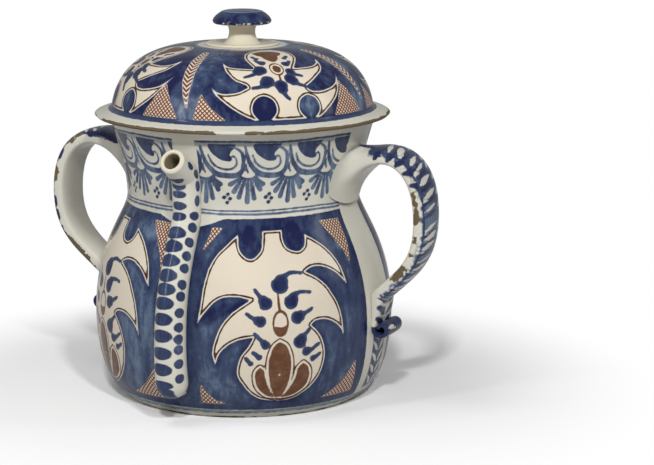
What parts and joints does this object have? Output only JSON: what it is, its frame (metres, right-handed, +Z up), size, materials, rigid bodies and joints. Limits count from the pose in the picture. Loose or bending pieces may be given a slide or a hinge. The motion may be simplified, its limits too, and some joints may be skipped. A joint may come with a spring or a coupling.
{
  "type": "posset pot",
  "caption": "Covered earthenware drinking pot with a bulbous body, flared neck, tube spout up the front, looped strap handles and a domed lift-off cover with a knob.",
  "frame": {"origin": "centre of the flat underside of the foot", "axes": "+Z up the pot's axis, -Y towards the spout, +X towards the right handle seen from the spout"},
  "size_m": [0.2503, 0.1963, 0.2307],
  "materials": {
    "pot_glaze": "cream-white tin glaze painted in cobalt blue, brown and iron red",
    "spout_glaze": "white tin glaze with dark blue dots",
    "handle_glaze": "slate blue wash with white leaf reserves, worn edges",
    "cover_glaze": "cobalt blue panels with cream reserves, worn cream flange",
    "knob_glaze": "cobalt blue cap on a cream stem"
  },
  "bodies": {
    "pot": {"pot_body": "pot_glaze", "spout": "spout_glaze", "handle_left": "handle_glaze", "handle_right": "handle_glaze"},
    "cover": {"cover": "cover_glaze", "cover_knob": "knob_glaze"}
  },
  "joints": [
    {"name": "cover_lift", "type": "slide", "parent": "pot", "child": "cover", "axis": [0, 0, 1], "range_m": [0, 0.16]}
  ]
}
